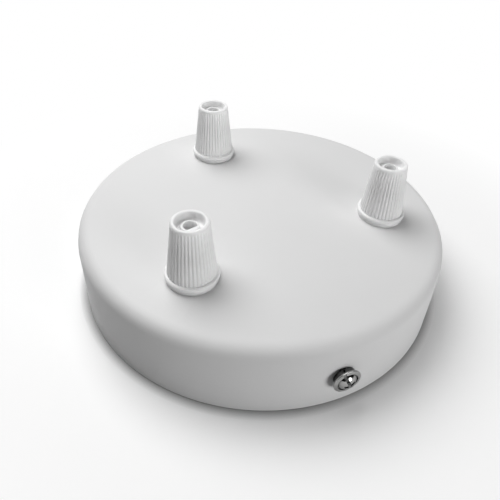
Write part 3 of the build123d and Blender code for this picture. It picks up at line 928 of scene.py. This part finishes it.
washer_low, washer_high = reach("base_washer_1")
nut_low, nut_high = reach("base_nut_1")
nut_bore_r = STUD_R + NUT_BORE_GAP
nut_corner = NUT_FLATS / math.sqrt(3)
corner_drop = (nut_corner - NUT_FLATS / 2) * math.tan(math.radians(NUT_CORNER_ANGLE))
for i, axis in grip_axes.items():
    washer = lathe(
        [
            (OUTLET_HOLE_R, washer_low.z, 0.08),
            (WASHER_R, washer_low.z, 0.25),
            (WASHER_R, washer_high.z, 0.12),
            (OUTLET_HOLE_R, washer_high.z, 0.08),
        ],
        closed=True,
    )
    dress(f"plate_washer_{i}", moved(washer, at(*axis)), f"base_washer_{i}")
    nut = bmesh.new()
    bmesh.ops.create_cone(
        nut, cap_ends=True, segments=6, radius1=nut_corner, radius2=nut_corner,
        depth=nut_high.z - nut_low.z,
    )
    moved(nut, at(0, 0, (nut_high.z + nut_low.z) / 2) @ turn(30, "Z"))
    turned = lathe([
        (0, nut_low.z - OVERLAP),
        (NUT_FLATS / 2, nut_low.z - OVERLAP),
        (nut_corner + 0.01, nut_low.z + corner_drop),
        (nut_corner + 0.01, nut_high.z - corner_drop),
        (NUT_FLATS / 2, nut_high.z + OVERLAP),
        (0, nut_high.z + OVERLAP),
    ])
    bore = lathe([
        (0, nut_low.z - CLEAR),
        (nut_bore_r + NUT_FUNNEL + CLEAR, nut_low.z - CLEAR),
        (nut_bore_r, nut_low.z + NUT_FUNNEL),
        (nut_bore_r, nut_high.z - NUT_FUNNEL),
        (nut_bore_r + NUT_FUNNEL + CLEAR, nut_high.z + CLEAR),
        (0, nut_high.z + CLEAR),
    ])
    nut = cut(combine(nut, [turned], "INTERSECT"), bore)
    facing = math.degrees(math.atan2(axis.y, axis.x))
    put = at(*axis) @ turn(facing, "Z")
    dress(f"nut_{i}", moved(nut, put), f"base_nut_{i}")

# %% [markdown]
# ## Ceiling strap
# The strap is one strip of zinc-plated steel with both ends bent into lugs. They point down from
# the ceiling, and so up here, where the rose lies on its rim. The long section is drawn once and
# pulled to the strip's width; the lugs' corners and all the long edges are then rounded, and the
# punched holes come last, because a punch leaves its edges sharp.

# %% Ceiling strap
STRAP_THICKNESS = 1.5
BEND_R = 1.0
LUG_CORNER_R = 5.0
STRAP_EDGE = 0.18
CABLE_HOLE_R = 5.0
SLOT_WIDTH = 5.0
SLOT_LENGTH = 14.0
SLOT_SPACING = 62.0
M4_HOLE_R = 2.05
BOSS_R = 3.45
LUG_BOSS_DEPTH = 1.5
EARTH_BOSS_HEIGHT = 2.0
FIX_HOLE_R = 1.3
FIX_SPREAD = 5.0
BOSS_EDGE = 0.2
PUNCH_TOP = 4

_, strap_high = reach("bracket")
half_width = strap_high.x
lug_face = strap_high.y
lug_inner = lug_face - STRAP_THICKNESS
earth = place("earth_screw")
block_place = place("terminal_block")
fix_places = [Vector((x, block_place.y, 0)) for x in (-FIX_SPREAD, FIX_SPREAD)]

strap = wire(
    [
        (-lug_face, 0, BEND_R + STRAP_THICKNESS),
        (lug_face, 0, BEND_R + STRAP_THICKNESS),
        (lug_face, strap_high.z),
        (lug_inner, strap_high.z),
        (lug_inner, STRAP_THICKNESS, BEND_R),
        (-lug_inner, STRAP_THICKNESS, BEND_R),
        (-lug_inner, strap_high.z),
        (-lug_face, strap_high.z),
    ],
    closed=True,
)
bmesh.ops.contextual_create(strap, geom=strap.edges[:])
moved(strap, turn(90, "Z") @ at(0, half_width, 0))
pull(strap, (2 * half_width, 0, 0))
lug_corners = [
    edge for edge in strap.edges
    if min(v.co.z for v in edge.verts) > strap_high.z - WELD
    and abs(edge.verts[0].co.x - edge.verts[1].co.x) < WELD
]
round_edges(strap, lug_corners, LUG_CORNER_R, 10)
long_edges = [edge for edge in strap.edges if edge.calc_face_angle() > math.radians(40)]
round_edges(strap, long_edges, STRAP_EDGE, 2)
lug_bosses = [
    moved(
        cylinder(BOSS_R, lug_inner - LUG_BOSS_DEPTH, lug_inner + STRAP_THICKNESS / 2),
        at(0, 0, screw_z) @ turn(-90 * side, "X"),
    )
    for side in (-1, 1)
]
boss_foot = STRAP_THICKNESS / 3
boss_top = STRAP_THICKNESS + EARTH_BOSS_HEIGHT
earth_boss = lathe([(0, boss_foot), (BOSS_R, boss_foot), (BOSS_R, boss_top, BOSS_EDGE), (0, boss_top)])
moved(earth_boss, at(0, earth.y, 0))
strap = join(strap, earth_boss, *lug_bosses)
slot_drill_r = SLOT_WIDTH / 2
slot_half = SLOT_LENGTH / 2 - slot_drill_r
punches = [cylinder(CABLE_HOLE_R, -CLEAR, PUNCH_TOP, 64)]
for side in (-1, 1):
    slot = bmesh.new()
    bmesh.ops.create_circle(slot, cap_ends=True, radius=slot_drill_r, segments=32)
    for vert in slot.verts:
        vert.co.y += slot_half if vert.co.y > 0 else -slot_half
    pull(slot, (0, 0, PUNCH_TOP + CLEAR))
    punches.append(moved(slot, at(0, side * SLOT_SPACING / 2, -CLEAR)))
for spot in fix_places:
    punches.append(moved(cylinder(FIX_HOLE_R, -CLEAR, PUNCH_TOP, 24), at(*spot)))
earth_punch = cylinder(M4_HOLE_R, -CLEAR, boss_top + CLEAR, 32)
punches.append(moved(earth_punch, at(0, earth.y, 0)))
lug_punch = moved(cylinder(M4_HOLE_R, -cup_r, cup_r, 32), turn(90, "X"))
punches.append(moved(lug_punch, at(0, 0, screw_z)))
dress("ceiling_strap", cut(strap, *punches), "bracket")

# %% [markdown]
# ## Side screws
# These are M4 pan screws with a rim like a washer under a domed crown, and a drive that takes both
# a flat and a cross blade. The bright nickel mirrors the studio, so the head's exact curves matter
# more than its colour. The flat lip and the gentle slope mirror the white table and look pale, the
# narrow groove at the crown's foot is dark from its own shade and from the nickel's painted shade,
# and the dome mirrors the low lamp as one small bright spot. The slot runs out through the rim.
# `on_side` lays what is drawn along Z against the cup.

# %% Side screws
SIDE_SLOT_ANGLE = 112.0
SIDE_SCREW_LENGTH = 8.0
SEAT_GAP = 0.05
M4_PITCH = 0.7
M4_R = 2.0
HEAD_R = 4.1
RIM_HEIGHT = 0.5
LIP_R = 3.78
SLOPE_R = 3.1
SLOPE_TOP = 0.72
GROOVE_R = 3.02
GROOVE_FLOOR = 0.45
CROWN_R = 2.78
CROWN_FOOT = 0.56
CROWN_TOP = 1.96
CROWN_STEPS = 10
DRIVE_WIDTH = 0.9
SLOT_FLOOR = 0.4
CROSS_REACH = 2.0
CROSS_FLOOR = 0.25
CROSS_TOP = 0.4
ARM_FOOT_REACH = 0.45
ARM_FOOT_WIDTH = 0.75
SHANK_ROOT = 0.4
SCREW_SHARP = math.radians(28)


def dome(edge_r, edge_z, top_z):
    """Points along a round dome, from its edge to the axis."""
    rise = top_z - edge_z
    radius = (edge_r**2 + rise**2) / (2 * rise)
    points = []
    for step in range(1, CROWN_STEPS + 1):
        r = edge_r * (1 - step / CROWN_STEPS)
        points.append((r, top_z - radius + math.sqrt(radius**2 - r**2)))
    return points


def drive_tools(top, slot_angle, reach_out):
    """The flat slot and the tapered cross of a combination drive, to be cut out of a head."""
    half = DRIVE_WIDTH / 2
    tools = [block((-reach_out, -half, SLOT_FLOOR), (reach_out, half, top + CLEAR))]
    for angle in (0, 90):
        arm = block((-CROSS_REACH, -half, CROSS_FLOOR), (CROSS_REACH, half, top + CROSS_TOP))
        for vert in arm.verts:
            if vert.co.z < top:
                vert.co.x *= ARM_FOOT_REACH
                vert.co.y *= ARM_FOOT_WIDTH
        tools.append(moved(arm, turn(angle, "Z")))
    return [moved(tool, turn(slot_angle, "Z")) for tool in tools]


def screw(head, length, slot_angle, top):
    """An M4 screw along Z with its seat at zero: the head above and the thread below."""
    shank = threaded_rod(M4_R, M4_PITCH, -length, SHANK_ROOT, 24)
    return cut(join(lathe(head, 128), shank), *drive_tools(top, slot_angle, 2 * HEAD_R))


def on_side(side, depth):
    """Lays a piece drawn along Z against one side, with its seat this far from the cup's axis."""
    axes = Matrix(((-side, 0, 0), (0, 0, side), (0, 1, 0))).to_4x4()
    return at(0, depth * side, screw_z) @ axes


spring_low, spring_high = reach("side_washer_1")
spring_height = round(spring_high.y - spring_low.y, 3)
for number, side in ((1, -1), (2, 1)):
    head = [
        (0, 0),
        (HEAD_R, 0, 0.08),
        (HEAD_R, RIM_HEIGHT, 0.14),
        (LIP_R, RIM_HEIGHT, 0.05),
        (SLOPE_R, SLOPE_TOP, 0.04),
        (GROOVE_R, GROOVE_FLOOR),
        (CROWN_R, GROOVE_FLOOR),
        (CROWN_R, CROWN_FOOT),
        *dome(CROWN_R, CROWN_FOOT, CROWN_TOP),
    ]
    made_screw = screw(head, SIDE_SCREW_LENGTH, SIDE_SLOT_ANGLE, CROWN_TOP)
    moved(made_screw, on_side(side, cup_r + SEAT_GAP + spring_height))
    dress(f"cup_screw_{number}", made_screw, f"side_screw_{number}", SCREW_SHARP)

# %% [markdown]
# ## Spring washers
# Under each head sits a split spring washer, which keeps the screw from working loose. It is wound
# from square wire, so a square ring cut through at a slant stands for it. Its steel is darker than
# the bright head.

# %% Spring washers
SPRING_R = 3.3
SPRING_BORE_R = 2.05
SLIT = 0.5
SLIT_LEAN = 25.0
SLIT_ANGLE = 104.0
SLIT_INNER = 1
SLIT_OUTER = 5
SLIT_HALF_HEIGHT = 2

for number, side in ((1, -1), (2, 1)):
    ring = lathe(
        [
            (SPRING_BORE_R, 0, 0.08),
            (SPRING_R, 0, 0.12),
            (SPRING_R, spring_height, 0.12),
            (SPRING_BORE_R, spring_height, 0.08),
        ],
        closed=True,
    )
    slit = block(
        (SLIT_INNER, -SLIT / 2, -SLIT_HALF_HEIGHT), (SLIT_OUTER, SLIT / 2, SLIT_HALF_HEIGHT)
    )
    moved(slit, at(0, 0, spring_height / 2) @ turn(-SLIT_LEAN, "X"))
    ring = moved(cut(ring, slit), turn(SLIT_ANGLE, "Z"))
    dress(f"spring_washer_{number}", moved(ring, on_side(side, cup_r + SEAT_GAP)), f"side_washer_{number}")

# %% [markdown]
# ## Earth terminal
# A plain pan screw and a washer on the strap's boss clamp the earth wire. It is the same screw
# maker with a simpler head.

# %% Earth terminal
PAN_EDGE = 0.6
PAN_TOP = 1.98
EARTH_SCREW_LENGTH = 4.0
EARTH_SLOT_ANGLE = 20.0
EARTH_RING_R = 4.4
EARTH_RING_BORE_R = M4_R + 0.25

earth_washer_low, earth_washer_high = reach("earth_washer")
ring = lathe(
    [
        (EARTH_RING_BORE_R, earth_washer_low.z, 0.06),
        (EARTH_RING_R, earth_washer_low.z, 0.1),
        (EARTH_RING_R, earth_washer_high.z, 0.2),
        (EARTH_RING_BORE_R, earth_washer_high.z, 0.06),
    ],
    closed=True,
)
dress("earth_ring", moved(ring, at(0, earth.y, 0)), "earth_washer")
pan = [(0, 0), (HEAD_R, 0, 0.08), (HEAD_R, PAN_EDGE, 0.15), *dome(HEAD_R, PAN_EDGE, PAN_TOP)]
made_screw = screw(pan, EARTH_SCREW_LENGTH, EARTH_SLOT_ANGLE, PAN_TOP)
moved(made_screw, at(0, earth.y, earth_washer_high.z))
dress("earth_terminal_screw", made_screw, "earth_screw", SCREW_SHARP)

# %% [markdown]
# ## Terminal strip
# Three poles with webs between them, and a little turret over each clamping screw. It is moulded
# in one piece, so the boxes are rounded first and then joined; the wire holes and screw wells are
# cut last.

# %% Terminal strip
POLE_XS = (-10.0, 0.0, 10.0)
POLE_WIDTH = 6.2
POLE_HEIGHT = 7.4
POLE_ROUND = 0.8
BLOCK_DEPTH = 16.0
WEB_HEIGHT = 3.0
WEB_DEPTH = 12.0
WIRE_HEIGHT = 3.6
TURRET_R = 2.9
WELL_R = 2.05
CLAMP_SPACING = 7.2
INSERT_R = 2.2
CROWN_WIDTH = 3.2
CROWN_HEIGHT = 3.2
HOLE_GAP = 0.05
WEB_ROUND = 0.3
TURRET_EDGE = 0.35
FIX_WELL_R = 2.4
FIX_WELL_TOP = 12
FIX_BORE_R = FIX_HOLE_R + 0.1
SINK = 0.01

strip_low, strip_high = reach("terminal_block")
strip_foot = strip_low.z
strip_y = block_place.y
wire_z = strip_foot + WIRE_HEIGHT
insert_top = wire_z + CROWN_HEIGHT
clamp_places = [(x, strip_y + side * CLAMP_SPACING / 2) for x in POLE_XS for side in (-1, 1)]


def rounded_block(low, high, amount):
    """A box with all its upper edges and corners rounded."""
    bm = block(low, high)
    soft = [edge for edge in bm.edges if max(v.co.z for v in edge.verts) > high[2] - WELD]
    round_edges(bm, soft, amount, 4)
    return bm


poles = [
    rounded_block(
        (x - POLE_WIDTH / 2, strip_y - BLOCK_DEPTH / 2, strip_foot),
        (x + POLE_WIDTH / 2, strip_y + BLOCK_DEPTH / 2, strip_foot + POLE_HEIGHT),
        POLE_ROUND,
    )
    for x in POLE_XS
]
web = rounded_block(
    (POLE_XS[0], strip_y - WEB_DEPTH / 2, strip_foot),
    (POLE_XS[-1], strip_y + WEB_DEPTH / 2, strip_foot + WEB_HEIGHT),
    WEB_ROUND,
)
turret = [(0, insert_top), (TURRET_R, insert_top), (TURRET_R, strip_high.z, TURRET_EDGE), (0, strip_high.z)]
turrets = [moved(lathe(turret, 48), at(x, y, 0)) for x, y in clamp_places]
strip = join(web, *poles, *turrets)
tools = []
for x in POLE_XS:
    along = at(x, strip_y, wire_z) @ turn(90, "X")
    tools.append(moved(cylinder(INSERT_R + HOLE_GAP, -BLOCK_DEPTH, BLOCK_DEPTH, 40), along))
    tools.append(block(
        (x - CROWN_WIDTH / 2 - HOLE_GAP, strip_y - BLOCK_DEPTH, wire_z),
        (x + CROWN_WIDTH / 2 + HOLE_GAP, strip_y + BLOCK_DEPTH, insert_top + HOLE_GAP),
    ))
for x, y in clamp_places:
    tools.append(moved(cylinder(WELL_R, wire_z, strip_high.z + CLEAR, 40), at(x, y, 0)))
web_top = strip_foot + WEB_HEIGHT
for spot in fix_places:
    tools.append(moved(cylinder(FIX_BORE_R, 0, web_top + CLEAR, 24), at(*spot)))
    tools.append(moved(cylinder(FIX_WELL_R, web_top - SINK, FIX_WELL_TOP, 32), at(*spot)))
dress("terminal_strip", cut(strip, *tools), "terminal_block")

# %% [markdown]
# ## Brass inserts
# Each pole holds a brass tube that both wires are pushed into. Over it lies a thick crown, which
# gives the clamping screws enough thread. The tube is turned, the crown is joined to it, and both
# are drilled together.

# %% Brass inserts
INSERT_BORE_R = 1.4
INSERT_LENGTH = 12.0
CROWN_LENGTH = 10.6
CROWN_ROUND = 0.25
M3_R = 1.5

for number, x in enumerate(POLE_XS, 1):
    along = at(x, strip_y, wire_z) @ turn(90, "X")
    tube = lathe(
        [
            (INSERT_BORE_R, -INSERT_LENGTH / 2, 0.12),
            (INSERT_R, -INSERT_LENGTH / 2, 0.15),
            (INSERT_R, INSERT_LENGTH / 2, 0.15),
            (INSERT_BORE_R, INSERT_LENGTH / 2, 0.12),
        ],
        40,
        closed=True,
    )
    crown = rounded_block(
        (x - CROWN_WIDTH / 2, strip_y - CROWN_LENGTH / 2, wire_z),
        (x + CROWN_WIDTH / 2, strip_y + CROWN_LENGTH / 2, insert_top),
        CROWN_ROUND,
    )
    bores = [moved(cylinder(INSERT_BORE_R, -INSERT_LENGTH, INSERT_LENGTH, 40), along)]
    for clamp_x, clamp_y in clamp_places:
        if clamp_x == x:
            bore = cylinder(M3_R + HOLE_GAP, wire_z, insert_top + CLEAR, 32)
            bores.append(moved(bore, at(x, clamp_y, 0)))
    insert = cut(join(moved(tube, along), crown), *bores)
    dress(f"brass_insert_{number}", insert, f"terminal_insert_{number}")

# %% [markdown]
# ## Small slotted screws
# Two M3 screws press on the wires in each insert, and two thinner ones hold the strip to the strap.
# The clamping screws are backed off, as they come from the maker, and each stands at an angle of
# its own. One maker serves both sorts: a turned head, a thread under it, and one straight slot.

# %% Small slotted screws
BLADE_REACH = 3
SMALL_SHANK_ROOT = 0.3
CLAMP_SCREW = {
    "head_r": 1.85, "head_height": 1.6, "under_edge": 0.1, "top_edge": 0.25,
    "thread_r": M3_R, "pitch": 0.5, "slot": 0.6, "slot_depth": 0.8,
}
FIX_SCREW = {
    "head_r": 2.25, "head_height": 1.5, "under_edge": 0.08, "top_edge": 0.5,
    "thread_r": 1.25, "pitch": 0.45, "slot": 0.7, "slot_depth": 0.7,
}
CLAMP_ANGLES = (15.0, 70.0, -35.0, 5.0, 50.0, -60.0)
FIX_ANGLE = 30.0


def slotted_screw(tip, top, angle, size):
    """A slotted screw along Z, from its tip to the top of its head."""
    seat = top - size["head_height"]
    head_r = size["head_r"]
    head = [(0, seat), (head_r, seat, size["under_edge"]), (head_r, top, size["top_edge"]), (0, top)]
    shank = threaded_rod(size["thread_r"], size["pitch"], tip, seat + SMALL_SHANK_ROOT, 20)
    half = size["slot"] / 2
    blade = block((-BLADE_REACH, -half, top - size["slot_depth"]), (BLADE_REACH, half, top + CLEAR))
    return cut(join(lathe(head, 48), shank), moved(blade, turn(angle, "Z")))


for number, ((x, y), angle) in enumerate(zip(clamp_places, CLAMP_ANGLES), 1):
    low, high = reach(f"terminal_screw_{number}")
    clamp = moved(slotted_screw(low.z, high.z, angle, CLAMP_SCREW), at(x, y, 0))
    dress(f"clamp_screw_{number}", clamp, f"terminal_screw_{number}")

fix_low, fix_high = reach("block_screws")
both = bmesh.new()
for spot in fix_places:
    fixing = slotted_screw(fix_low.z, fix_high.z, FIX_ANGLE, FIX_SCREW)
    part = mesh_from(moved(fixing, at(*spot)))
    both.from_mesh(part)
    bpy.data.meshes.remove(part)
dress("strip_screws", both, "block_screws")
